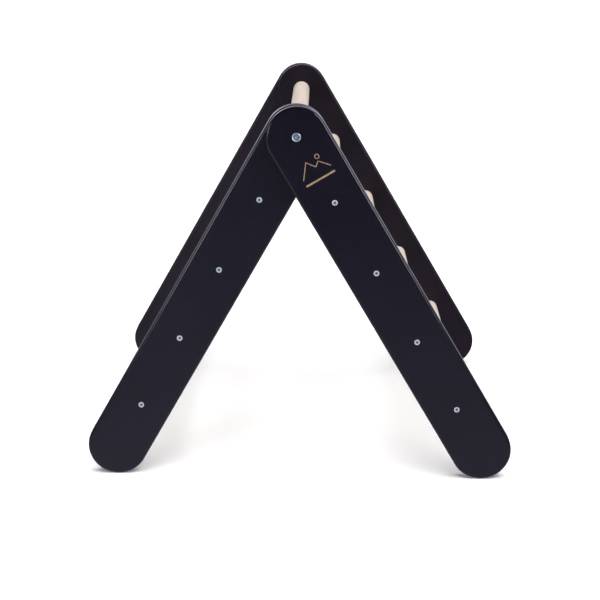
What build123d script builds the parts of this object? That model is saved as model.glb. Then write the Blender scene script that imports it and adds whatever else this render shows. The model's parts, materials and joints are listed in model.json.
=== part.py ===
from build123d import *
from math import cos, radians, sin
import os

# A child's folding A-frame climbing ladder. Two equal ladder frames, each of two boards and four
# rungs, hinge about one top rung. The frames are staggered along the rungs by one board, so at
# each side of the ladder the boards of the two frames cross face to face.
# Millimetres. Origin on the floor under the middle of the top rung, +Z up, +Y along the rungs.
# "right" is +X and "left" is -X; "near" is -Y and "far" is +Y.

# Driving dimensions
LEG_ANGLE = 30.1          # lean of each frame from upright
RUNG_PITCH = 132.0        # between rung centres down the leg
FIRST_RUNG = 119.5        # pivot to the first rung's centre
FOOT_CENTRE = 598.0       # pivot to the centre of the rounded foot
TOP_CENTRE = 2.0          # pivot to the centre of the rounded top
RUNG_COUNT = 4
BOARD_WIDTH = 98.0
BOARD_THICKNESS = 25.0
BOARD_ARRIS = 4.0         # rounding of the boards' long edges
BOARD_GAP = 1.0           # between the two boards that cross
TOTAL_DEPTH = 690.0       # outer face to outer face
RUNG_RADIUS = 15.6
SOCKET_DEPTH = 6.0        # how far a rung's end is let into its board
SLIP = 0.02               # radial clearance between fixed round pieces

# Rung screws: flat countersunk head with a hexagon socket
SCREW_LENGTH = 50.0
SCREW_HEAD_RADIUS = 4.5
SCREW_SHANK_RADIUS = 3.0
SCREW_TIP_RADIUS = 1.8
SCREW_TIP_LENGTH = 4.0
SCREW_HEX_FLATS = 4.0
SCREW_HEX_DEPTH = 3.0

# Pivot: shoulder bolts that screw into threaded inserts in the ends of the top rung
BOLT_HEAD_RADIUS = 7.2
BOLT_HEAD_THICKNESS = 2.5
BOLT_HEAD_EDGE = 0.6
BOLT_DISH_RADIUS = 5.2
BOLT_DISH_DEPTH = 0.9
BOLT_HEX_FLATS = 5.0
BOLT_HEX_DEPTH = 3.0
BOLT_SHOULDER_RADIUS = 5.0
BOLT_THREAD_RADIUS = 4.0
BOLT_THREAD_LENGTH = 22.0
HEAD_POCKET_RADIUS = 7.5
HEAD_POCKET_DEPTH = 2.6
PIVOT_CLEARANCE = 0.05
INSERT_RADIUS = 6.0
INSERT_LENGTH = 25.0
WASHER_RADIUS = 20.0
WASHER_THICKNESS = 0.9
RUNG_END_CLEARANCE = 0.5  # top rung to the board that turns past its far end

# Opening stop: a pin in each right board runs in an arc groove in the left board beside it
STOP_RADIUS = 30.0        # pivot to the pin's centre
STOP_PIN_RADIUS = 4.0
STOP_PIN_LENGTH = 23.5
STOP_PIN_SEAT = 14.0      # depth of its hole in the right board
STOP_GROOVE_DEPTH = 10.0
STOP_CLEARANCE = 0.3
FOLD_TRAVEL = 26.5        # degrees that the right frame closes

# Engraved mark below the near pivot: two peaks under a sun, over a plain rule
MARK_DEPTH = 0.4
MARK_LINE = 1.5
MARK_DISTANCE = 52.0      # pivot to the middle of the peaks
MARK_WIDTH = 50.0
MARK_HEIGHT = 26.0
RULE_DISTANCE = 75.0
RULE_LENGTH = 52.0
RULE_HEIGHT = 3.0

# Places that follow from them
PIVOT_HEIGHT = FOOT_CENTRE * cos(radians(LEG_ANGLE)) + BOARD_WIDTH / 2
OUTER_FACE = TOTAL_DEPTH / 2
OUTER_BOARD_BACK = OUTER_FACE - BOARD_THICKNESS
INNER_BOARD_FACE = OUTER_BOARD_BACK - BOARD_GAP
INNER_BOARD_BACK = INNER_BOARD_FACE - BOARD_THICKNESS
RUNG_DISTANCES = [FIRST_RUNG + RUNG_PITCH * step for step in range(RUNG_COUNT)]
RIGHT, LEFT = 1, -1
NEAR, FAR = -1, 1


def leg_plane(side, y, facing):
    """Plane on a frame's centreline at depth y: x runs down the leg from the pivot."""
    down = (side * sin(radians(LEG_ANGLE)), 0, -cos(radians(LEG_ANGLE)))
    return Plane(origin=(0, y, PIVOT_HEIGHT), x_dir=down, z_dir=(0, facing, 0))


def pivot_plane(y, facing):
    """Plane square to the pivot axis at depth y: y runs straight up."""
    return Plane(origin=(0, y, PIVOT_HEIGHT), x_dir=(-facing, 0, 0), z_dir=(0, facing, 0))


def is_outer(side, end):
    """At the near end the right board is the outermost, and at the far end the left board."""
    return (side == RIGHT) == (end == NEAR)


def board_faces(side, end):
    """Depths of a board's outward face and of its face towards the rungs."""
    if is_outer(side, end):
        return end * OUTER_FACE, end * OUTER_BOARD_BACK
    return end * INNER_BOARD_FACE, end * INNER_BOARD_BACK


def crossing_face(side, end):
    """Depth of a board's face towards the board that it crosses, and the way it faces."""
    outward, inward = board_faces(side, end)
    if is_outer(side, end):
        return inward, -end
    return outward, end


def make_rail(side, end):
    """One board: rounded ends, softened edges, rung sockets, screw holes and pivot hole."""
    outward, inward = board_faces(side, end)
    with BuildPart() as rail:
        with BuildSketch(leg_plane(side, inward, end)):
            with Locations(((FOOT_CENTRE + TOP_CENTRE) / 2, 0)):
                SlotCenterToCenter(FOOT_CENTRE - TOP_CENTRE, BOARD_WIDTH)
        extrude(amount=BOARD_THICKNESS)
        fillet(rail.faces().filter_by(Axis.Y).edges(), radius=BOARD_ARRIS)
        outside = leg_plane(side, outward, end)
        inside = leg_plane(side, inward, -end)
        for distance in RUNG_DISTANCES:
            with Locations(outside * Location((distance, 0, 0))):
                CounterSinkHole(
                    SCREW_SHANK_RADIUS + SLIP, SCREW_HEAD_RADIUS + SLIP, counter_sink_angle=90
                )
        with BuildSketch(inside):
            with Locations([(distance, 0) for distance in RUNG_DISTANCES]):
                Circle(RUNG_RADIUS + SLIP)
        extrude(amount=-SOCKET_DEPTH, mode=Mode.SUBTRACT)
        with Locations(outside):
            Hole(BOLT_SHOULDER_RADIUS + PIVOT_CLEARANCE)
        if is_outer(side, end):
            with BuildSketch(outside):
                Circle(HEAD_POCKET_RADIUS)
            extrude(amount=-HEAD_POCKET_DEPTH, mode=Mode.SUBTRACT)
        face, facing = crossing_face(side, end)
        if side == RIGHT:
            with BuildSketch(pivot_plane(face, facing)):
                with Locations(stop_point(facing)):
                    Circle(STOP_PIN_RADIUS + SLIP)
            extrude(amount=-STOP_PIN_SEAT, mode=Mode.SUBTRACT)
        else:
            middle = CenterArc((0, 0), STOP_RADIUS, 90 - FOLD_TRAVEL / 2, FOLD_TRAVEL)
            with BuildSketch(pivot_plane(face, facing)):
                SlotArc(middle, 2 * (STOP_PIN_RADIUS + STOP_CLEARANCE))
            extrude(amount=-STOP_GROOVE_DEPTH, mode=Mode.SUBTRACT)
        if (side, end) == (RIGHT, NEAR):
            extrude(make_mark(), amount=-MARK_DEPTH, mode=Mode.SUBTRACT)
    return rail.part


def stop_point(facing):
    """Place of a stop pin in the pivot plane: half the travel left of straight up."""
    half_travel = radians(FOLD_TRAVEL / 2)
    return (facing * STOP_RADIUS * sin(half_travel), STOP_RADIUS * cos(half_travel))


def make_mark():
    """Outline of the mark on the near right board's face, upright across the leg."""
    across = (cos(radians(LEG_ANGLE)), 0, sin(radians(LEG_ANGLE)))
    down = (sin(radians(LEG_ANGLE)), 0, -cos(radians(LEG_ANGLE)))
    base = Plane(
        origin=(MARK_DISTANCE * down[0], -OUTER_FACE, PIVOT_HEIGHT + MARK_DISTANCE * down[2]),
        x_dir=across,
        z_dir=(0, -1, 0),
    )
    half_width = MARK_WIDTH / 2
    half_height = MARK_HEIGHT / 2
    ridge = [
        (-half_width, -half_height),
        (-half_width * 0.3, half_height * 0.8),
        (half_width * 0.12, -half_height * 0.25),
        (half_width * 0.42, half_height * 0.25),
        (half_width, -half_height),
    ]
    with BuildSketch(base) as mark:
        with BuildLine():
            Polyline(*ridge)
        trace(line_width=MARK_LINE)
        with Locations((half_width * 0.5, half_height * 0.8)):
            Circle(MARK_HEIGHT * 0.16)
            Circle(MARK_HEIGHT * 0.16 - MARK_LINE, mode=Mode.SUBTRACT)
        with Locations((0, MARK_DISTANCE - RULE_DISTANCE)):
            SlotOverall(RULE_LENGTH, RULE_HEIGHT)
    return mark.sketch


def make_rung(side, distance):
    """A turned rung between its two boards, with a screw pilot in each end."""
    ends = [board_faces(side, end)[1] + end * SOCKET_DEPTH for end in (NEAR, FAR)]
    pilot_depth = SCREW_LENGTH - (BOARD_THICKNESS - SOCKET_DEPTH) + SCREW_TIP_RADIUS
    with BuildPart() as rung:
        with BuildSketch(leg_plane(side, ends[0], 1)):
            with Locations((distance, 0)):
                Circle(RUNG_RADIUS)
        extrude(amount=ends[1] - ends[0])
        chamfer(rung.edges().filter_by(GeomType.CIRCLE), length=1)
        for y, facing in ((ends[0], NEAR), (ends[1], FAR)):
            with BuildSketch(leg_plane(side, y, facing)):
                with Locations((distance, 0)):
                    Circle(SCREW_SHANK_RADIUS + SLIP)
            extrude(amount=-pilot_depth, mode=Mode.SUBTRACT)
    return rung.part


def make_screws(side, end):
    """The four screws of one board, each its own solid."""
    outward = board_faces(side, end)[0]
    profile = [
        (0, 0),
        (SCREW_HEAD_RADIUS, 0),
        (SCREW_SHANK_RADIUS, SCREW_SHANK_RADIUS - SCREW_HEAD_RADIUS),
        (SCREW_SHANK_RADIUS, SCREW_TIP_LENGTH - SCREW_LENGTH),
        (SCREW_TIP_RADIUS, -SCREW_LENGTH),
        (0, -SCREW_LENGTH),
    ]
    with BuildPart() as screw:
        with BuildSketch(Plane.XZ):
            Polygon(*profile, align=None)
        revolve(axis=Axis.Z)
        with BuildSketch():
            RegularPolygon(SCREW_HEX_FLATS / 2, 6, major_radius=False)
        extrude(amount=-SCREW_HEX_DEPTH, mode=Mode.SUBTRACT)
    outside = leg_plane(side, outward, end)
    with BuildPart() as screws:
        with Locations([outside * Location((distance, 0, 0)) for distance in RUNG_DISTANCES]):
            add(screw.part)
    return screws.part


def make_pivot_bolt(end, shoulder_end):
    """Shoulder bolt with a dished head and a hexagon socket, flush in the outermost board."""
    shoulder_length = OUTER_FACE - BOLT_HEAD_THICKNESS - shoulder_end
    head = pivot_plane(end * OUTER_FACE, end)
    with BuildPart() as bolt:
        with BuildSketch(head):
            Circle(BOLT_HEAD_RADIUS)
        extrude(amount=-BOLT_HEAD_THICKNESS)
        rim = bolt.faces().sort_by(Axis.Y)[0 if end == NEAR else -1]
        fillet(rim.edges(), radius=BOLT_HEAD_EDGE)
        with BuildSketch(head.offset(-BOLT_HEAD_THICKNESS)):
            Circle(BOLT_SHOULDER_RADIUS)
        extrude(amount=-shoulder_length)
        with BuildSketch(head.offset(-BOLT_HEAD_THICKNESS - shoulder_length)):
            Circle(BOLT_THREAD_RADIUS)
        extrude(amount=-BOLT_THREAD_LENGTH)
        with BuildSketch(head):
            Circle(BOLT_DISH_RADIUS)
        extrude(amount=-BOLT_DISH_DEPTH, taper=20, mode=Mode.SUBTRACT)
        with BuildSketch(head.offset(-BOLT_DISH_DEPTH)):
            RegularPolygon(BOLT_HEX_FLATS / 2, 6, major_radius=False)
        extrude(amount=-BOLT_HEX_DEPTH, mode=Mode.SUBTRACT)
    return bolt.part


def make_insert(end, face_depth):
    """Threaded insert, flush with the end of the top rung."""
    with BuildPart() as insert:
        with BuildSketch(pivot_plane(end * face_depth, end)):
            Circle(INSERT_RADIUS)
            Circle(BOLT_THREAD_RADIUS + SLIP, mode=Mode.SUBTRACT)
        extrude(amount=-INSERT_LENGTH)
    return insert.part


def make_washer(end):
    """Thin washer on the left board, which keeps the crossing boards apart."""
    face, facing = crossing_face(LEFT, end)
    with BuildPart() as washer:
        with BuildSketch(pivot_plane(face, facing)):
            Circle(WASHER_RADIUS)
            Circle(BOLT_SHOULDER_RADIUS + PIVOT_CLEARANCE, mode=Mode.SUBTRACT)
        extrude(amount=WASHER_THICKNESS)
    return washer.part


def make_stop_pin(end):
    """Pin that stands out of the right board into the left board's groove."""
    face, facing = crossing_face(RIGHT, end)
    with BuildPart() as pin:
        with BuildSketch(pivot_plane(face, facing).offset(-STOP_PIN_SEAT)):
            with Locations(stop_point(facing)):
                Circle(STOP_PIN_RADIUS)
        extrude(amount=STOP_PIN_LENGTH)
        chamfer(pin.edges().filter_by(GeomType.CIRCLE), length=0.5)
    return pin.part


TOP_RUNG_NEAR = INNER_BOARD_BACK
TOP_RUNG_FAR = INNER_BOARD_BACK - RUNG_END_CLEARANCE

with BuildPart() as top_rung:
    with BuildSketch(pivot_plane(-TOP_RUNG_NEAR, 1)):
        Circle(RUNG_RADIUS)
    extrude(amount=TOP_RUNG_NEAR + TOP_RUNG_FAR)
    chamfer(top_rung.edges().filter_by(GeomType.CIRCLE), length=0.5)
    for end, depth in ((NEAR, TOP_RUNG_NEAR), (FAR, TOP_RUNG_FAR)):
        with BuildSketch(pivot_plane(end * depth, end)):
            Circle(INSERT_RADIUS + SLIP)
        extrude(amount=-INSERT_LENGTH, mode=Mode.SUBTRACT)

pieces = {"top_rung": top_rung.part}
for side, side_name in ((RIGHT, "right"), (LEFT, "left")):
    for end, end_name in ((NEAR, "near"), (FAR, "far")):
        pieces[f"{end_name}_{side_name}_rail"] = make_rail(side, end)
        pieces[f"{end_name}_{side_name}_rung_screws"] = make_screws(side, end)
    for number, distance in enumerate(RUNG_DISTANCES, start=1):
        pieces[f"{side_name}_rung_{number}"] = make_rung(side, distance)
for end, end_name, rung_end in ((NEAR, "near", TOP_RUNG_NEAR), (FAR, "far", TOP_RUNG_FAR)):
    pieces[f"{end_name}_pivot_bolt"] = make_pivot_bolt(end, rung_end)
    pieces[f"{end_name}_pivot_insert"] = make_insert(end, rung_end)
    pieces[f"{end_name}_pivot_washer"] = make_washer(end)
    pieces[f"{end_name}_stop_pin"] = make_stop_pin(end)

os.makedirs("parts", exist_ok=True)
for name, piece in pieces.items():
    piece.label = name
    export_step(piece, f"parts/{name}.step")
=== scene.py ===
import json
from math import cos, pi, radians, sin

import bmesh
import bpy
from mathutils import Matrix, Vector


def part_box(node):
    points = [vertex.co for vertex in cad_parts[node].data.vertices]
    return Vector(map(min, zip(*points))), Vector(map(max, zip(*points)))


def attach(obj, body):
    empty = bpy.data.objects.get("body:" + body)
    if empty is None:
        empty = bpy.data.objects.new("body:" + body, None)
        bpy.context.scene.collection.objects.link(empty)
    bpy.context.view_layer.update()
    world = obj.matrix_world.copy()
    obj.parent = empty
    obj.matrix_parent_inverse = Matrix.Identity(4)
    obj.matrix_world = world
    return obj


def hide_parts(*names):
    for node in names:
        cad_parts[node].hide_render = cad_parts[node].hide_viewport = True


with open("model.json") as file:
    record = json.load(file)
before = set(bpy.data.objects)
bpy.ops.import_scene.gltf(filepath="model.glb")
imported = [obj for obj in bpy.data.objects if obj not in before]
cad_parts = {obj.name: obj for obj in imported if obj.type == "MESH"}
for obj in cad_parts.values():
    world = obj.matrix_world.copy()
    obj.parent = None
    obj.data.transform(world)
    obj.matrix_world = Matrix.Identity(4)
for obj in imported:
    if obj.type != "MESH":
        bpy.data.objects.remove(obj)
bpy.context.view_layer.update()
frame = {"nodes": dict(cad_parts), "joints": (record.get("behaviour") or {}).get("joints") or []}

# A child's folding A-frame ladder: black lacquered boards, turned beech rungs and zinc screws.
# Metres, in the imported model's frame: +Y runs along the rungs, away from the camera.
# "right" is +X and "left" is -X; "near" is -Y and "far" is +Y.
# The boards, rungs, screws and pivot bolts are built again here as fine meshes to the CAD's sizes;
# the washers, inserts and stop pins keep their CAD meshes.

RIGHT, LEFT = 1, -1
NEAR, FAR = -1, 1
SIDE_NAMES = {RIGHT: "right", LEFT: "left"}
END_NAMES = {NEAR: "near", FAR: "far"}

LEG_ANGLE = radians(30.1)
PIVOT = Vector(frame["joints"][0]["pos_m"])
OUTER_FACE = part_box("far_left_rail")[1].y
FIRST_RUNG = 0.1195       # from the pivot down the leg
RUNG_PITCH = 0.132
RUNG_COUNT = 4            # on each frame, besides the top rung on the pivot
RUNG_DISTANCES = [FIRST_RUNG + RUNG_PITCH * step for step in range(RUNG_COUNT)]
SLIP = 0.00002            # radial clearance between fixed round pieces
OVERSHOOT = 0.001         # how far a cutting tool stands out of the board
TURN_STEPS = 96           # segments round a turned piece; a multiple of 12 gives true hexagons
HEXAGON = 6
SMOOTH_ANGLE = radians(32)    # edges flatter than this are shaded smooth

# Boards
BOARD_WIDTH = 0.098
BOARD_THICKNESS = 0.025
BOARD_ARRIS = 0.004       # radius of the long edges
TOP_CENTRE = 0.002        # centres of the rounded ends, from the pivot down the leg
FOOT_CENTRE = 0.598
SOCKET_DEPTH = 0.006
ARRIS_STEPS = 8
END_STEPS = 72            # segments round each end of a board

# Rungs
RUNG_RADIUS = 0.0156
RUNG_EASE = 0.001         # rounding of a rung's ends
EASE_STEPS = 4
PILOT_DEPTH = 0.033
INSERT_RADIUS = 0.006
INSERT_LENGTH = 0.025

# Rung screws
SCREW_HEAD_RADIUS = 0.0045
SCREW_SHANK_RADIUS = 0.003
SCREW_CORE_RADIUS = 0.0022
SCREW_TIP_RADIUS = 0.0010
SCREW_LENGTH = 0.050
SCREW_TIP_LENGTH = 0.004
SCREW_NECK = 0.012        # smooth length under the head
SCREW_NECK_TAPER = 0.001  # from the neck down to the core
SCREW_EDGE = 0.0002       # how far in from its rim the head's flat top ends
SCREW_EDGE_DROP = 0.00006     # how far down the eased rim meets the countersink
SCREW_HEX = 0.002         # centre to flat
SCREW_HEX_DEPTH = 0.003
SOCKET_CHAMFER = 0.00025      # round the sockets of the screws and of the pivot bolts
SCREW_SHADED_BANDS = (-1, 0, 1)     # the socket's floor, walls and chamfer, which get painted shade
THREAD_PITCH = 0.003
THREAD_HALF_BASE = 0.0007
THREAD_HALF_CREST = 0.0001
THREAD_INSET = 0.0001     # the foot lies this far inside the core, the crest inside the neck's radius
THREAD_STEPS = 24         # sections to a turn of the thread
SCREW_TURN_FIRST = 17     # degrees that the first screw is turned
SCREW_TURN_NEXT = 41      # and how much more each next one is
SCREW_TURN_SIDE = 23      # more on the right boards, less on the left

# Pivot bolts
BOLT_HEAD_RADIUS = 0.0072
BOLT_HEAD_THICKNESS = 0.0025
BOLT_DISH_RADIUS = 0.0052
BOLT_DISH_DEPTH = 0.0009
BOLT_HEX = 0.0025         # centre to flat
BOLT_HEX_DEPTH = 0.003
BOLT_SHOULDER_RADIUS = 0.005
BOLT_THREAD_RADIUS = 0.004
BOLT_THREAD_LENGTH = 0.022
BOLT_TIP_CHAMFER = 0.0008
BOLT_SHADED_BANDS = (1, 2, 3, 4, 5)     # the socket's chamfer, the dish and the foot of its rim, which get painted shade
BEAD_STEPS = 16           # segments across the rounded rim
PIVOT_CLEARANCE = 0.00005
HEAD_POCKET_RADIUS = 0.0075
HEAD_POCKET_DEPTH = 0.0026

# Opening stops
STOP_RADIUS = 0.030
STOP_PIN_RADIUS = 0.004
STOP_PIN_SEAT = 0.014
STOP_GROOVE_DEPTH = 0.010
STOP_CLEARANCE = 0.0003
GROOVE_STEPS = 24         # segments to each arc of the groove
HALF_TRAVEL = radians(26.5 / 2)       # half of what the fold joint turns

# Engraved mark
MARK_DEPTH = 0.0004
MARK_LINE = 0.0015
MARK_DISTANCE = 0.052     # pivot to the middle of the peaks
MARK_WIDTH = 0.050
MARK_HEIGHT = 0.026
MARK_REACH = 0.030        # the whole mark lies within this of that middle, each way
RIDGE = ((-1, -1), (-0.3, 0.8), (0.12, -0.25), (0.42, 0.25), (1, -1))  # in half widths and heights
SUN_PLACE = (0.5, 0.8)    # in half widths and heights
SUN_RADIUS = 0.16         # in mark heights
RULE_DISTANCE = 0.075
RULE_LENGTH = 0.052
RULE_HEIGHT = 0.003
RULE_STEPS = 24           # segments round each end of the rule

# Camera: a long lens a little above the ladder, looking along the rungs
CAMERA_PLACE = Vector((0.0383, -2.647, 0.9098))
CAMERA_PITCH = radians(-14.71)
CAMERA_HEADING = radians(-0.845)
CAMERA_ROLL = radians(-0.295)
CAMERA_LENS = 89.4        # millimetres, as is the sensor
CAMERA_SENSOR = 36

# Studio
STUDIO_RADIUS = 30.0      # of the floor and the backdrop, which reaches as far up and down
STUDIO_STEPS = 64         # sides of the round floor and backdrop
FLOOR_GLOW = 0.14         # emission strength
LIGHT_TARGET = (0, 0, 0.3)    # the middle of the ladder
ROOM_TINT = (0.95, 0.90, 1.07)
ROOM_TURN = (0.84, 0.97)  # where a direction's y leaves the room's front, and where it is all back
SINE_REACH = 0.5          # the room's shades change between minus this sine and this

# The room's brightness in front and behind, by the sine of the elevation
FRONT_SHADE = ((-0.45, 0.62), (-0.30, 0.34), (-0.14, 0.09), (0.0, 0.09), (0.12, 0.06), (0.30, 0.04))
BACK_SHADE = ((-0.45, 0.50), (-0.18, 0.42), (-0.04, 0.62), (0.03, 0.62), (0.13, 0.40), (0.26, 0.05))


# ---------------------------------------------------------------- places

def axes(along, across, outward, origin):
    """The matrix that puts local x, y and z on three directions at an origin."""
    rows = [[column[row] for column in (along, across, outward, origin)] for row in range(3)]
    return Matrix(rows + [[0, 0, 0, 1]])


def leg_place(side, y, facing, distance=0.0):
    """On a leg's centreline at depth y: local x runs down the leg and z is the way faced."""
    down = Vector((side * sin(LEG_ANGLE), 0, -cos(LEG_ANGLE)))
    outward = Vector((0, facing, 0))
    return axes(down, outward.cross(down), outward, Vector((PIVOT.x, y, PIVOT.z)) + distance * down)


def upright_place(y, facing):
    """Square to the pivot axis at depth y: local y runs straight up and z is the way faced."""
    up = Vector((0, 0, 1))
    outward = Vector((0, facing, 0))
    return axes(up.cross(outward), up, outward, Vector((PIVOT.x, y, PIVOT.z)))


def is_outer(side, end):
    """At the near end the right board is the outermost, and at the far end the left board."""
    return (side == RIGHT) == (end == NEAR)


def board_faces(side, end):
    """Depths of a board's outward face and of its face towards the rungs."""
    low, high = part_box(f"{END_NAMES[end]}_{SIDE_NAMES[side]}_rail")
    return (low.y, high.y) if end == NEAR else (high.y, low.y)


# ---------------------------------------------------------------- meshes

def arc(centre, radius, start, turn, steps):
    """Points along an arc, both ends included."""
    angles = [start + turn * step / steps for step in range(steps + 1)]
    return [(centre[0] + radius * cos(angle), centre[1] + radius * sin(angle)) for angle in angles]


def turned_outline(radius, sides=0):
    """A full circle's points; with sides it is a polygon of that inner radius."""
    outline = []
    for x, y in arc((0, 0), 1, 0, 2 * pi, TURN_STEPS)[:-1]:
        reach = radius
        if sides:
            angles = [2 * pi * side / sides for side in range(sides)]
            reach = radius / max(x * cos(angle) + y * sin(angle) for angle in angles)
        outline.append((reach * x, reach * y))
    return outline


def at_height(outline, height):
    """An outline's points lifted to a height."""
    return [Vector((x, y, height)) for x, y in outline]


def add_rings(shape, rings, place, closed=False, shaded_bands=()):
    """Skin rings of points one after another; the ends are capped, or joined when closed.

    The bands whose numbers are listed get the second material, on the screws and pivot bolts a darker
    zinc of painted shade; the first cap is band -1."""
    loops = [[shape.verts.new(place @ point) for point in ring] for ring in rings]
    pairs = list(zip(loops, loops[1:]))
    if closed:
        pairs.append((loops[-1], loops[0]))
    else:
        shape.faces.new(loops[0]).material_index = int(-1 in shaded_bands)
        shape.faces.new(loops[-1])
    for band, (lower, upper) in enumerate(pairs):
        for index in range(len(lower)):
            after = (index + 1) % len(lower)
            face = shape.faces.new((lower[index], lower[after], upper[after], upper[index]))
            face.material_index = int(band in shaded_bands)


def add_turned(shape, profile, place, shaded_bands=()):
    """A turned solid through steps of (radius, height) or (inner radius, height, sides)."""
    rings = [at_height(turned_outline(radius, *sides), height) for radius, height, *sides in profile]
    add_rings(shape, rings, place, shaded_bands=shaded_bands)


def add_prism(shape, outline, depth, place):
    """A cutting tool with an outline, from just outside a face to a depth."""
    add_rings(shape, [at_height(outline, OVERSHOOT), at_height(outline, -depth)], place)


def finish_mesh(shape, name):
    """The bmesh as an object with its normals outward."""
    bmesh.ops.recalc_face_normals(shape, faces=shape.faces)
    mesh = bpy.data.meshes.new(name)
    shape.to_mesh(mesh)
    shape.free()
    piece = bpy.data.objects.new(name, mesh)
    bpy.context.scene.collection.objects.link(piece)
    return piece


def apply_modifiers(piece):
    """Replace a piece's mesh by what its modifiers make of it."""
    depsgraph = bpy.context.evaluated_depsgraph_get()
    mesh = bpy.data.meshes.new_from_object(piece.evaluated_get(depsgraph), depsgraph=depsgraph)
    piece.modifiers.clear()
    piece.data = mesh


def cut(piece, tools):
    """Cut the tools out of a piece."""
    cutter = finish_mesh(tools, piece.name + "_tools")
    boolean = piece.modifiers.new("cut", "BOOLEAN")
    boolean.operation = "DIFFERENCE"
    boolean.solver = "EXACT"
    boolean.object = cutter
    apply_modifiers(piece)
    bpy.data.objects.remove(cutter)


def smooth(piece):
    """Shade a piece smooth across its flatter edges, and keep its flat faces flat."""
    piece.data.shade_smooth()
    piece.data.set_sharp_from_angle(angle=SMOOTH_ANGLE)
    weights = piece.modifiers.new("weights", "WEIGHTED_NORMAL")
    weights.keep_sharp = True
    apply_modifiers(piece)


def settle(piece, node, body, slot, *materials):
    """Smooth a piece, give it its materials, and put it on its body in place of a CAD node."""
    smooth(piece)
    indices = [face.material_index for face in piece.data.polygons]
    piece.data.materials.clear()
    for material in materials:
        piece.data.materials.append(material)
    piece.data.polygons.foreach_set("material_index", indices)
    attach(piece, body)
    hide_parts(node)


# ---------------------------------------------------------------- boards

def board_outline(inset):
    """A board's outline with its rounded ends, brought in by an inset."""
    radius = BOARD_WIDTH / 2 - inset
    foot = arc((FOOT_CENTRE, 0), radius, -pi / 2, pi, END_STEPS)
    return foot + arc((TOP_CENTRE, 0), radius, pi / 2, pi, END_STEPS)


def add_blank(shape, place):
    """A board before it is drilled, with its long edges rounded."""
    outward = []
    inward = []
    for step in range(ARRIS_STEPS + 1):
        angle = pi / 2 * step / ARRIS_STEPS
        outline = board_outline(BOARD_ARRIS * (1 - sin(angle)))
        height = BOARD_ARRIS * (cos(angle) - 1)
        outward.append(at_height(outline, height))
        inward.append(at_height(outline, -BOARD_THICKNESS - height))
    add_rings(shape, outward + inward[::-1], place)


def add_rung_bores(tools, side, end):
    """Countersunk screw holes that open into the rung sockets on the inward face."""
    outward = board_faces(side, end)[0]
    neck = SCREW_SHANK_RADIUS + SLIP
    mouth = SCREW_HEAD_RADIUS + SLIP
    socket = RUNG_RADIUS + SLIP
    socket_floor = SOCKET_DEPTH - BOARD_THICKNESS
    profile = [
        (mouth + OVERSHOOT, OVERSHOOT), (neck, neck - mouth), (neck, socket_floor),
        (socket, socket_floor), (socket, -BOARD_THICKNESS - OVERSHOOT),
    ]
    for distance in RUNG_DISTANCES:
        add_turned(tools, profile, leg_place(side, outward, end, distance))


def add_pivot_bore(tools, side, end):
    """The pivot hole, with the bolt head's pocket on an outermost board."""
    outward = board_faces(side, end)[0]
    bore = BOLT_SHOULDER_RADIUS + PIVOT_CLEARANCE
    profile = [(bore, OVERSHOOT)]
    if is_outer(side, end):
        profile = [
            (HEAD_POCKET_RADIUS, OVERSHOOT), (HEAD_POCKET_RADIUS, -HEAD_POCKET_DEPTH),
            (bore, -HEAD_POCKET_DEPTH),
        ]
    profile.append((bore, -BOARD_THICKNESS - OVERSHOOT))
    add_turned(tools, profile, leg_place(side, outward, end))


def add_stop_cut(tools, side, end):
    """The stop pin's hole in a right board, or the arc groove that it runs in."""
    outward, inward = board_faces(side, end)
    face, facing = (inward, -end) if is_outer(side, end) else (outward, end)
    place = upright_place(face, facing)
    if side == RIGHT:
        centre = (facing * STOP_RADIUS * sin(HALF_TRAVEL), STOP_RADIUS * cos(HALF_TRAVEL))
        outline = arc(centre, STOP_PIN_RADIUS + SLIP, 0, 2 * pi, TURN_STEPS)[:-1]
        add_prism(tools, outline, STOP_PIN_SEAT, place)
        return
    half = STOP_PIN_RADIUS + STOP_CLEARANCE
    first = pi / 2 + HALF_TRAVEL
    last = pi / 2 - HALF_TRAVEL
    first_end = (STOP_RADIUS * cos(first), STOP_RADIUS * sin(first))
    last_end = (STOP_RADIUS * cos(last), STOP_RADIUS * sin(last))
    outline = arc((0, 0), STOP_RADIUS + half, first, last - first, GROOVE_STEPS)
    outline += arc(last_end, half, last, -pi, GROOVE_STEPS)[1:-1]
    outline += arc((0, 0), STOP_RADIUS - half, last, first - last, GROOVE_STEPS)
    outline += arc(first_end, half, first + pi, -pi, GROOVE_STEPS)[1:-1]
    add_prism(tools, outline, STOP_GROOVE_DEPTH, place)


def stroke(points, width):
    """The outline of a mitred line of a width through points."""
    left = []
    right = []
    for index, point in enumerate(points):
        here = Vector(point)
        steps = []
        if index > 0:
            steps.append((here - Vector(points[index - 1])).normalized())
        if index < len(points) - 1:
            steps.append((Vector(points[index + 1]) - here).normalized())
        heading = sum(steps, Vector((0, 0))).normalized()
        reach = Vector((-heading.y, heading.x)) * (width / 2 / heading.dot(steps[0]))
        left.append(tuple(here + reach))
        right.append(tuple(here - reach))
    return left + right[::-1]


def mark_place():
    """The middle of the peaks on the near right board, with local y up the leg."""
    outward = board_faces(RIGHT, NEAR)[0]
    return leg_place(RIGHT, outward, NEAR, MARK_DISTANCE) @ Matrix.Rotation(pi / 2, 4, "Z")


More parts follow.
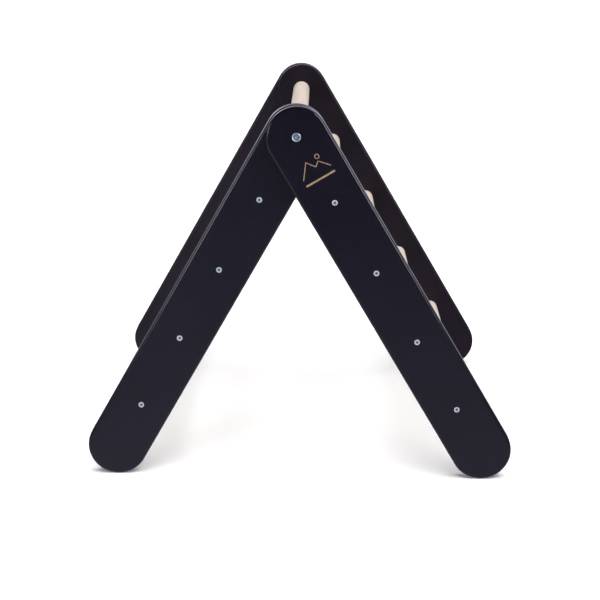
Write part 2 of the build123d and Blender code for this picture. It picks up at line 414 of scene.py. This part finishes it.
def add_mark_cut(tools):
    """Two peaks under a sun, over a plain rule."""
    place = mark_place()
    half_width = MARK_WIDTH / 2
    half_height = MARK_HEIGHT / 2
    ridge = [(half_width * x, half_height * y) for x, y in RIDGE]
    add_prism(tools, stroke(ridge, MARK_LINE), MARK_DEPTH, place)
    sun = (half_width * SUN_PLACE[0], half_height * SUN_PLACE[1])
    radius = MARK_HEIGHT * SUN_RADIUS
    outer = arc(sun, radius, 0, 2 * pi, TURN_STEPS)[:-1]
    inner = arc(sun, radius - MARK_LINE, 0, 2 * pi, TURN_STEPS)[:-1]
    heights = (OVERSHOOT, -MARK_DEPTH)
    rings = [at_height(outer, height) for height in heights]
    rings += [at_height(inner, height) for height in heights[::-1]]
    add_rings(tools, rings, place, closed=True)
    rule_y = MARK_DISTANCE - RULE_DISTANCE
    middle = (RULE_LENGTH - RULE_HEIGHT) / 2
    rule = arc((middle, rule_y), RULE_HEIGHT / 2, -pi / 2, pi, RULE_STEPS)
    rule += arc((-middle, rule_y), RULE_HEIGHT / 2, pi / 2, pi, RULE_STEPS)
    add_prism(tools, rule, MARK_DEPTH, place)


def bare_mark(piece):
    """Put the second material on the engraving's walls and floor."""
    to_mark = mark_place().inverted()
    for face in piece.data.polygons:
        spot = to_mark @ face.center
        engraved = -1.5 * MARK_DEPTH < spot.z < -0.1 * MARK_DEPTH
        if engraved and max(abs(spot.x), abs(spot.y)) < MARK_REACH:
            face.material_index = 1


def make_rail(side, end):
    """One finished board."""
    name = f"{END_NAMES[end]}_{SIDE_NAMES[side]}_rail"
    marked = (side, end) == (RIGHT, NEAR)
    shape = bmesh.new()
    add_blank(shape, leg_place(side, board_faces(side, end)[0], end))
    piece = finish_mesh(shape, name + "_board")
    tools = bmesh.new()
    add_rung_bores(tools, side, end)
    add_pivot_bore(tools, side, end)
    add_stop_cut(tools, side, end)
    materials = [black_lacquer(name, side, end)]
    if marked:
        add_mark_cut(tools)
        materials.append(engraved_wood(name))
    cut(piece, tools)
    settle(piece, name, f"{SIDE_NAMES[side]}_frame", "black_paint", *materials)
    if marked:
        bare_mark(piece)


# ---------------------------------------------------------------- rungs, screws and bolts

def make_rung(name, body, place, length, bore_radius, bore_depth):
    """A turned rung with eased ends and a bore in each end."""
    start = [(bore_radius, bore_depth), (bore_radius, 0)]
    for step in range(EASE_STEPS + 1):
        angle = pi / 2 * step / EASE_STEPS
        start.append((RUNG_RADIUS - RUNG_EASE * (1 - sin(angle)), RUNG_EASE * (1 - cos(angle))))
    profile = start + [(radius, length - height) for radius, height in start[::-1]]
    shape = bmesh.new()
    add_turned(shape, profile, place)
    settle(finish_mesh(shape, name + "_dowel"), name, body, "beech", beech(name))


def add_thread(shape, place, start, length):
    """A sharp ridge wound round a screw's core, tapering out at both ends."""
    root = SCREW_CORE_RADIUS - THREAD_INSET
    height = SCREW_SHANK_RADIUS - THREAD_INSET - root
    count = int(length / THREAD_PITCH * THREAD_STEPS)
    rings = []
    for index in range(count + 1):
        angle = 2 * pi * index / THREAD_STEPS
        depth = start + THREAD_PITCH * index / THREAD_STEPS
        crest = root + height * min(1, index / THREAD_STEPS, (count - index) / THREAD_STEPS)
        ring = []
        for radius, rise in (
            (root, THREAD_HALF_BASE), (crest, THREAD_HALF_CREST),
            (crest, -THREAD_HALF_CREST), (root, -THREAD_HALF_BASE),
        ):
            ring.append(Vector((radius * cos(angle), radius * sin(angle), rise - depth)))
        rings.append(ring)
    add_rings(shape, rings[1:-1], place)


def add_screw(shape, place):
    """A wood screw with a flat countersunk head and a hexagon socket."""
    profile = [
        (SCREW_HEX, -SCREW_HEX_DEPTH, HEXAGON),
        (SCREW_HEX, -SOCKET_CHAMFER, HEXAGON),
        (SCREW_HEX / cos(pi / HEXAGON) + SOCKET_CHAMFER, 0),
        (SCREW_HEAD_RADIUS - SCREW_EDGE, 0),
        (SCREW_HEAD_RADIUS - SCREW_EDGE_DROP, -SCREW_EDGE_DROP),
        (SCREW_HEAD_RADIUS - SCREW_EDGE, -SCREW_EDGE),
        (SCREW_SHANK_RADIUS, SCREW_SHANK_RADIUS - SCREW_HEAD_RADIUS),
        (SCREW_SHANK_RADIUS, -SCREW_NECK),
        (SCREW_CORE_RADIUS, -SCREW_NECK - SCREW_NECK_TAPER),
        (SCREW_CORE_RADIUS, SCREW_TIP_LENGTH - SCREW_LENGTH),
        (SCREW_TIP_RADIUS, -SCREW_LENGTH),
    ]
    # The socket's floor, walls and chamfer get the second material, a darker zinc painted as shade.
    add_turned(shape, profile, place, shaded_bands=SCREW_SHADED_BANDS)
    start = SCREW_NECK + THREAD_PITCH / 2
    add_thread(shape, place, start, SCREW_LENGTH - SCREW_TIP_LENGTH - start)


def make_screws(side, end):
    """The screws of one board, each turned to where it happened to stop."""
    name = f"{END_NAMES[end]}_{SIDE_NAMES[side]}_rung_screws"
    outward = board_faces(side, end)[0]
    shape = bmesh.new()
    for number, distance in enumerate(RUNG_DISTANCES):
        turn = SCREW_TURN_FIRST + SCREW_TURN_NEXT * number + SCREW_TURN_SIDE * side
        place = leg_place(side, outward, end, distance)
        add_screw(shape, place @ Matrix.Rotation(radians(turn), 4, "Z"))
    piece = finish_mesh(shape, name + "_set")
    body = f"{SIDE_NAMES[side]}_frame"
    settle(piece, name, body, "zinc_steel", zinc(name, *SCREW_ZINC), shaded_zinc(name, *SCREW_SOCKET_SHADE))


def make_bolt(end):
    """A shoulder bolt: its head has a rounded rim, a shallow dish and a hexagon socket."""
    name = f"{END_NAMES[end]}_pivot_bolt"
    low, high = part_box(name)
    length = high.y - low.y
    bead = (BOLT_HEAD_RADIUS - BOLT_DISH_RADIUS) / 2
    profile = [
        (BOLT_HEX, -BOLT_DISH_DEPTH - BOLT_HEX_DEPTH, HEXAGON),
        (BOLT_HEX, -BOLT_DISH_DEPTH - SOCKET_CHAMFER, HEXAGON),
        (BOLT_HEX / cos(pi / HEXAGON) + SOCKET_CHAMFER, -BOLT_DISH_DEPTH),
    ]
    # The rim is half an ellipse, from the dish to the head's edge
    middle = BOLT_DISH_RADIUS + bead
    for across, up in arc((0, 0), 1, pi, -pi, BEAD_STEPS):
        profile.append((middle + bead * across, (up - 1) * BOLT_DISH_DEPTH))
    profile += [
        (BOLT_HEAD_RADIUS, -BOLT_HEAD_THICKNESS),
        (BOLT_SHOULDER_RADIUS, -BOLT_HEAD_THICKNESS),
        (BOLT_SHOULDER_RADIUS, BOLT_THREAD_LENGTH - length),
        (BOLT_THREAD_RADIUS, BOLT_THREAD_LENGTH - length),
        (BOLT_THREAD_RADIUS, BOLT_TIP_CHAMFER - length),
        (BOLT_THREAD_RADIUS - BOLT_TIP_CHAMFER, -length),
    ]
    shape = bmesh.new()
    # The socket's chamfer, the dish and the foot of the rim get the second material, a darker zinc
    # painted as shade.
    add_turned(shape, profile, upright_place(end * OUTER_FACE, end), shaded_bands=BOLT_SHADED_BANDS)
    piece = finish_mesh(shape, name + "_turned")
    settle(piece, name, "left_frame", "zinc_steel", zinc(name, *BOLT_ZINC), shaded_zinc(name, *BOLT_DISH_SHADE))


def make_pieces():
    """Every piece that stands for a CAD node."""
    for side in (RIGHT, LEFT):
        for end in (NEAR, FAR):
            make_rail(side, end)
            make_screws(side, end)
        for number, distance in enumerate(RUNG_DISTANCES, start=1):
            name = f"{SIDE_NAMES[side]}_rung_{number}"
            low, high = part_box(name)
            place = leg_place(side, low.y, 1, distance)
            bore = SCREW_SHANK_RADIUS + SLIP
            make_rung(name, f"{SIDE_NAMES[side]}_frame", place, high.y - low.y, bore, PILOT_DEPTH)
    low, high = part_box("top_rung")
    place = upright_place(low.y, 1)
    make_rung("top_rung", "left_frame", place, high.y - low.y, INSERT_RADIUS + SLIP, INSERT_LENGTH)
    make_bolt(NEAR)
    make_bolt(FAR)


# ---------------------------------------------------------------- shader helpers

def feed(tree, socket, value):
    """Link an input to another node's output, or set it to a value."""
    if isinstance(value, bpy.types.NodeSocket):
        tree.links.new(value, socket)
    elif socket.type == "RGBA":
        socket.default_value = (*value, 1)
    else:
        socket.default_value = value


def add_node(tree, kind, **values):
    """A new shader node; values set its inputs, or its own settings where it has no such input."""
    node = tree.nodes.new(kind)
    for name, value in values.items():
        socket = node.inputs.get(name.replace("_", " "))
        if socket is None:
            setattr(node, name, value)
        else:
            feed(tree, socket, value)
    return node


def math_node(tree, operation, *values):
    """The result of a math node on numbers or sockets."""
    node = tree.nodes.new("ShaderNodeMath")
    node.operation = operation
    for socket, value in zip(node.inputs, values):
        feed(tree, socket, value)
    return node.outputs[0]


def mix_colours(tree, factor, first, second):
    """A colour between two colours or sockets."""
    node = tree.nodes.new("ShaderNodeMix")
    node.data_type = "RGBA"
    for index, value in ((0, factor), (6, first), (7, second)):
        feed(tree, node.inputs[index], value)
    return node.outputs[2]


def spread(tree, value, low, high, out_low=0.0, out_high=1.0):
    """Map a value's range low..high to out_low..out_high, clamped."""
    node = tree.nodes.new("ShaderNodeMapRange")
    for socket, number in zip(node.inputs, (value, low, high, out_low, out_high)):
        feed(tree, socket, number)
    return node.outputs[0]


def new_material(name):
    """An empty material, its tree and its Principled shader."""
    material = bpy.data.materials.new(name)
    material.use_nodes = True
    tree = material.node_tree
    return material, tree, tree.nodes["Principled BSDF"]


SHIFT_STEPS = (0.37, 0.73, 0.11)
SHIFT_RANGE = 7           # shifts stay below this


def piece_shift(name):
    """A shift of the texture in x, y and z, which differs from name to name."""
    total = sum(ord(letter) * place for place, letter in enumerate(name, start=1))
    return tuple(total * step % SHIFT_RANGE for step in SHIFT_STEPS)


def object_coordinates(tree, turn=0.0, scale=(1, 1, 1), shift=(0, 0, 0)):
    """The piece's own coordinates, turned about Y, then stretched and shifted."""
    source = tree.nodes.new("ShaderNodeTexCoord").outputs["Object"]
    turned = add_node(tree, "ShaderNodeVectorRotate", rotation_type="Y_AXIS", Angle=turn, Vector=source)
    mapped = add_node(tree, "ShaderNodeMapping", Vector=turned.outputs[0], Scale=scale, Location=shift)
    return mapped.outputs[0]


def noise(tree, vector, scale, detail=4.0, roughness=0.5, distortion=0.0):
    """A noise value along a vector."""
    node = add_node(
        tree, "ShaderNodeTexNoise", Vector=vector, Scale=scale, Detail=detail,
        Roughness=roughness, Distortion=distortion,
    )
    return node.outputs[0]


def blend_by(tree, value, first, second):
    """A colour that runs from one to another over the middle of a noise value's range."""
    return mix_colours(tree, spread(tree, value, 0.35, 0.65), first, second)


def wide_spread(tree, value, first, second):
    """A number that runs from one to another over nearly the whole of a noise value's range."""
    return spread(tree, value, 0.3, 0.7, first, second)


def colour_by(tree, shader, value, first, second):
    """Run a shader's colour from one to another by a noise value."""
    tree.links.new(blend_by(tree, value, first, second), shader.inputs["Base Color"])


def roughness_by(tree, shader, value, smoothest, roughest):
    """Run a shader's roughness from one to another by a noise value."""
    tree.links.new(wide_spread(tree, value, smoothest, roughest), shader.inputs["Roughness"])


def set_relief(tree, shader, height, strength, distance):
    """Give a shader its fine relief, of a depth in metres."""
    bump = add_node(tree, "ShaderNodeBump", Strength=strength, Distance=distance, Height=height)
    tree.links.new(bump.outputs[0], shader.inputs["Normal"])


# ---------------------------------------------------------------- materials

# Zinc plate: the two colours that it clouds between, how metallic it is, and its roughness range
SCREW_ZINC = ((0.66, 0.73, 0.82), (0.86, 0.91, 0.97), 0.65, 0.34, 0.50)
BOLT_ZINC = ((0.54, 0.67, 0.78), (0.70, 0.81, 0.89), 0.85, 0.28, 0.40)

# Painted shade on zinc in the sockets and the pivot bolts' dish: the two darker colours that it clouds
# between
SCREW_SOCKET_SHADE = ((0.16, 0.22, 0.28), (0.26, 0.34, 0.42))
BOLT_DISH_SHADE = ((0.10, 0.16, 0.21), (0.16, 0.24, 0.31))
RECESS_METAL = 0.65

# Wood: the two colours of the bare wood in the engraving, and the beech's from pale to darkest
BARE_WOOD = ((0.20, 0.13, 0.07), (0.42, 0.30, 0.175))
BEECH_PALE = (0.68, 0.585, 0.515)
BEECH_BAND = (0.58, 0.48, 0.41)
BEECH_FLECK = (0.48, 0.35, 0.26)
BEECH_PORE = (0.42, 0.31, 0.23)

BLACK_NYLON = ((0.020, 0.020, 0.022), (0.034, 0.034, 0.037))
PALE_FLOOR = ((0.90, 0.90, 0.905), (0.92, 0.92, 0.925))

GRAIN_STRETCH = 0.06      # texture scale along a board beside that across it
RUNG_STRETCH = 0.035      # the same for a rung's grain
FLECK_STRETCH = 0.22      # the same for a rung's ray flecks, which are short
LACQUER_WEAR = 0.03       # how much rougher the rub marks make the lacquer, and the grain as well
PEEL_HEIGHT = 0.4         # height of the lacquer's orange peel beside that of its grain

# For each board: the two colours that its lacquer clouds between, smoothest roughness, specular level.
# The colours are one black paint set darkest on the near right board and lightest on the far left one,
# as painted light and shade.
LIT_AND_SHADED_LACQUERS = {
    (RIGHT, NEAR): ((0.0030, 0.0027, 0.0080), (0.0038, 0.0035, 0.0096), 0.14, 0.5),
    (LEFT, NEAR): ((0.0046, 0.0046, 0.0104), (0.0058, 0.0058, 0.0122), 0.14, 0.5),
    (RIGHT, FAR): ((0.0104, 0.0074, 0.0120), (0.0120, 0.0088, 0.0138), 0.22, 0.15),
    (LEFT, FAR): ((0.0150, 0.0120, 0.0180), (0.0170, 0.0138, 0.0204), 0.22, 0.15),
}


def black_lacquer(name, side, end):
    """Satin black lacquer on a board: faint grain along it, fine orange peel and soft rub marks; its
    black differs board by board, as painted light and shade.
    """
    material, tree, shader = new_material(name + "_lacquer")
    shift = piece_shift(name)
    along = object_coordinates(tree, side * LEG_ANGLE, (1, 1, GRAIN_STRETCH), shift)
    plain = object_coordinates(tree, shift=shift)
    grain = noise(tree, along, scale=190, detail=6, roughness=0.55, distortion=0.4)
    cloud = noise(tree, plain, scale=9, detail=3)
    peel = noise(tree, plain, scale=700, detail=2)
    deep, pale, smoothest, specular = LIT_AND_SHADED_LACQUERS[side, end]
    colour_by(tree, shader, cloud, deep, pale)
    shader.inputs["Specular IOR Level"].default_value = specular
    rubbed = wide_spread(tree, cloud, smoothest, smoothest + LACQUER_WEAR)
    grained = wide_spread(tree, grain, 0, LACQUER_WEAR)
    tree.links.new(math_node(tree, "ADD", rubbed, grained), shader.inputs["Roughness"])
    relief = math_node(tree, "MULTIPLY_ADD", peel, PEEL_HEIGHT, grain)
    set_relief(tree, shader, relief, strength=0.08, distance=0.0003)
    return material


def engraved_wood(name):
    """Bare wood at the bottom of an engraving, a little toasted along the grain."""
    material, tree, shader = new_material(name + "_engraving")
    along = object_coordinates(tree, LEG_ANGLE, (1, 1, GRAIN_STRETCH))
    grain = noise(tree, along, scale=700, detail=5, roughness=0.6)
    colour_by(tree, shader, grain, *BARE_WOOD)
    shader.inputs["Roughness"].default_value = 0.65
    set_relief(tree, shader, grain, strength=0.3, distance=0.0002)
    return material


def beech(name):
    """Pale beech under clear matt lacquer: soft growth bands, fine pores and short ray flecks."""
    material, tree, shader = new_material(name + "_beech")
    shift = piece_shift(name)
    along = object_coordinates(tree, scale=(1, RUNG_STRETCH, 1), shift=shift)
    bands = noise(tree, along, scale=70, roughness=0.55, distortion=0.6)
    pores = noise(tree, along, scale=900, detail=3, roughness=0.6)
    short = object_coordinates(tree, scale=(1, FLECK_STRETCH, 1), shift=shift)
    cells = add_node(tree, "ShaderNodeTexVoronoi", Vector=short, Scale=420)
    fleck = spread(tree, cells.outputs["Distance"], low=0.10, high=0.26, out_low=0.35, out_high=0)
    pore = spread(tree, pores, low=0.50, high=0.68, out_low=0, out_high=0.30)
    colour = blend_by(tree, bands, BEECH_PALE, BEECH_BAND)
    colour = mix_colours(tree, pore, colour, BEECH_PORE)
    colour = mix_colours(tree, fleck, colour, BEECH_FLECK)
    tree.links.new(colour, shader.inputs["Base Color"])
    roughness_by(tree, shader, pores, 0.42, 0.56)
    set_relief(tree, shader, pores, strength=0.15, distance=0.0003)
    return material


def zinc(name, deep, pale, metal, smoothest, roughest):
    """Zinc plate: bluish and half matt, with fine tumbling marks and cloudy passivation."""
    material, tree, shader = new_material(name + "_zinc")
    plain = object_coordinates(tree, shift=piece_shift(name))
    cloud = noise(tree, plain, scale=260, detail=3)
    marks = noise(tree, plain, scale=3200, detail=3, roughness=0.6)
    colour_by(tree, shader, cloud, deep, pale)
    roughness_by(tree, shader, marks, smoothest, roughest)
    shader.inputs["Metallic"].default_value = metal
    set_relief(tree, shader, marks, strength=0.12, distance=0.00008)
    return material


def shaded_zinc(name, deep, pale):
    """Zinc in the sockets and the pivot bolts' dish, painted darker as shade, with a rougher finish."""
    material, tree, shader = new_material(name + "_painted_shade")
    marks = noise(tree, object_coordinates(tree), scale=2400, detail=3, roughness=0.6)
    colour_by(tree, shader, marks, deep, pale)
    roughness_by(tree, shader, marks, 0.45, 0.65)
    shader.inputs["Metallic"].default_value = RECESS_METAL
    set_relief(tree, shader, marks, strength=0.2, distance=0.0001)
    return material


def nylon(name):
    """Moulded black nylon with a fine spark-eroded texture."""
    material, tree, shader = new_material(name + "_nylon")
    texture = noise(tree, object_coordinates(tree), scale=1800, detail=3, roughness=0.6)
    colour_by(tree, shader, texture, *BLACK_NYLON)
    roughness_by(tree, shader, texture, 0.45, 0.6)
    set_relief(tree, shader, texture, strength=0.2, distance=0.0001)
    return material


def paint_nodes():
    """Give the CAD nodes that still show their materials."""
    for name, node in sorted(frame["nodes"].items()):
        if name.endswith("_washer"):
            material = nylon(name)
        elif name.endswith(("_insert", "_pin")):
            material = zinc(name, *SCREW_ZINC)
        else:
            continue
        node.data.materials.clear()
        node.data.materials.append(material)


# ---------------------------------------------------------------- studio

def studio_rim():
    """The outline that the floor and the backdrop share."""
    return arc((0, 0), STUDIO_RADIUS, 0, 2 * pi, STUDIO_STEPS)[:-1]


def make_floor():
    """A plain pale studio floor with a faint glow of its own, which keeps its shadows light."""
    mesh = bpy.data.meshes.new("floor")
    mesh.from_pydata(at_height(studio_rim(), 0), [], [range(STUDIO_STEPS)])
    floor = bpy.data.objects.new("floor", mesh)
    bpy.context.scene.collection.objects.link(floor)
    material, tree, shader = new_material("pale_floor")
    mottle = noise(tree, object_coordinates(tree), scale=3, detail=2)
    colour_by(tree, shader, mottle, *PALE_FLOOR)
    shader.inputs["Roughness"].default_value = 0.9
    shader.inputs["Specular IOR Level"].default_value = 0.1
    shader.inputs["Emission Color"].default_value = (1, 1, 1, 1)
    shader.inputs["Emission Strength"].default_value = FLOOR_GLOW
    mesh.materials.append(material)
    floor.visible_glossy = False


def make_backdrop():
    """A plain white drum round the whole studio, which only the camera sees."""
    shape = bmesh.new()
    rings = [at_height(studio_rim(), height) for height in (-STUDIO_RADIUS, STUDIO_RADIUS)]
    add_rings(shape, rings, Matrix.Identity(4))
    backdrop = finish_mesh(shape, "backdrop")
    material, _, shader = new_material("white_backdrop")
    shader.inputs["Base Color"].default_value = (0, 0, 0, 1)
    shader.inputs["Emission Color"].default_value = (1, 1, 1, 1)
    shader.inputs["Emission Strength"].default_value = 1.0
    backdrop.data.materials.append(material)
    backdrop.visible_diffuse = False
    backdrop.visible_glossy = False
    backdrop.visible_shadow = False


def shade_ramp(tree, sine, stops):
    """The room's tint, of a brightness that runs through stops of (sine, brightness)."""
    ramp = tree.nodes.new("ShaderNodeValToRGB")
    tree.links.new(spread(tree, sine, -SINE_REACH, SINE_REACH), ramp.inputs[0])
    elements = ramp.color_ramp.elements
    elements.remove(elements[1])
    for index, (place, level) in enumerate(stops):
        position = (place + SINE_REACH) / (2 * SINE_REACH)
        element = elements.new(position) if index else elements[0]
        element.position = position
        element.color = (*(level * part for part in ROOM_TINT), 1)
    return ramp.outputs[0]


def make_room():
    """A dark room with pale ground and a pale wall low behind, for light and to show in the gloss."""
    world = bpy.data.worlds.new("studio")
    bpy.context.scene.world = world
    world.use_nodes = True
    tree = world.node_tree
    direction = tree.nodes.new("ShaderNodeTexCoord").outputs["Generated"]
    parts = add_node(tree, "ShaderNodeSeparateXYZ", Vector=direction).outputs
    front = shade_ramp(tree, parts[2], FRONT_SHADE)
    back = shade_ramp(tree, parts[2], BACK_SHADE)
    room = mix_colours(tree, spread(tree, parts[1], *ROOM_TURN), front, back)
    tree.links.new(room, tree.nodes["Background"].inputs["Color"])


def add_light(name, kind, place, **settings):
    """A lamp at a place, aimed at the ladder and not seen by the camera."""
    data = bpy.data.lights.new(name, kind)
    for key, value in settings.items():
        setattr(data, key, value)
    lamp = bpy.data.objects.new(name, data)
    bpy.context.scene.collection.objects.link(lamp)
    lamp.location = place
    aim = Vector(LIGHT_TARGET) - Vector(place)
    lamp.rotation_euler = aim.to_track_quat("-Z", "Y").to_euler()
    lamp.visible_camera = False
    return lamp


def add_softbox(name, place, energy, width, height, color=(1, 1, 1)):
    """A rectangular lamp: its energy is in watts, its width and height in metres."""
    size = {"shape": "RECTANGLE", "size": width, "size_y": height}
    return add_light(name, "AREA", place, energy=energy, color=color, **size)


def make_lights():
    """A sun above that lights without a reflection, a tall softbox front right that only shows in
    the gloss, and softboxes front left and low behind that do both."""
    fill = add_light("fill_sun", "SUN", (0.5, -1.0, 4.0), energy=4.55, angle=radians(70))
    fill.visible_glossy = False
    key = add_softbox(
        "key_softbox", (2.4, -2.4, 1.82), energy=93, width=0.7, height=2.3, color=(0.96, 0.91, 1.0),
    )
    key.visible_diffuse = False
    add_softbox(
        "second_softbox", (-2.1, -2.7, 0.78), energy=24, width=0.9, height=0.8, color=(0.90, 0.92, 1.0),
    )
    add_softbox("rim_softbox", (-0.85, 4.2, 0.45), energy=1.8, width=1.5, height=0.7)


def make_camera():
    """The camera, turned by heading, pitch and roll in that order."""
    data = bpy.data.cameras.new("camera")
    data.lens = CAMERA_LENS
    data.sensor_width = CAMERA_SENSOR
    camera = bpy.data.objects.new("camera", data)
    bpy.context.scene.collection.objects.link(camera)
    camera.matrix_world = (
        Matrix.Translation(CAMERA_PLACE)
        @ Matrix.Rotation(-CAMERA_HEADING, 4, "Z")
        @ Matrix.Rotation(pi / 2 + CAMERA_PITCH, 4, "X")
        @ Matrix.Rotation(CAMERA_ROLL, 4, "Z")
    )
    bpy.context.scene.camera = camera


bpy.context.scene.view_settings.view_transform = "Standard"
make_camera()
make_pieces()
paint_nodes()
make_floor()
make_backdrop()
make_room()
make_lights()
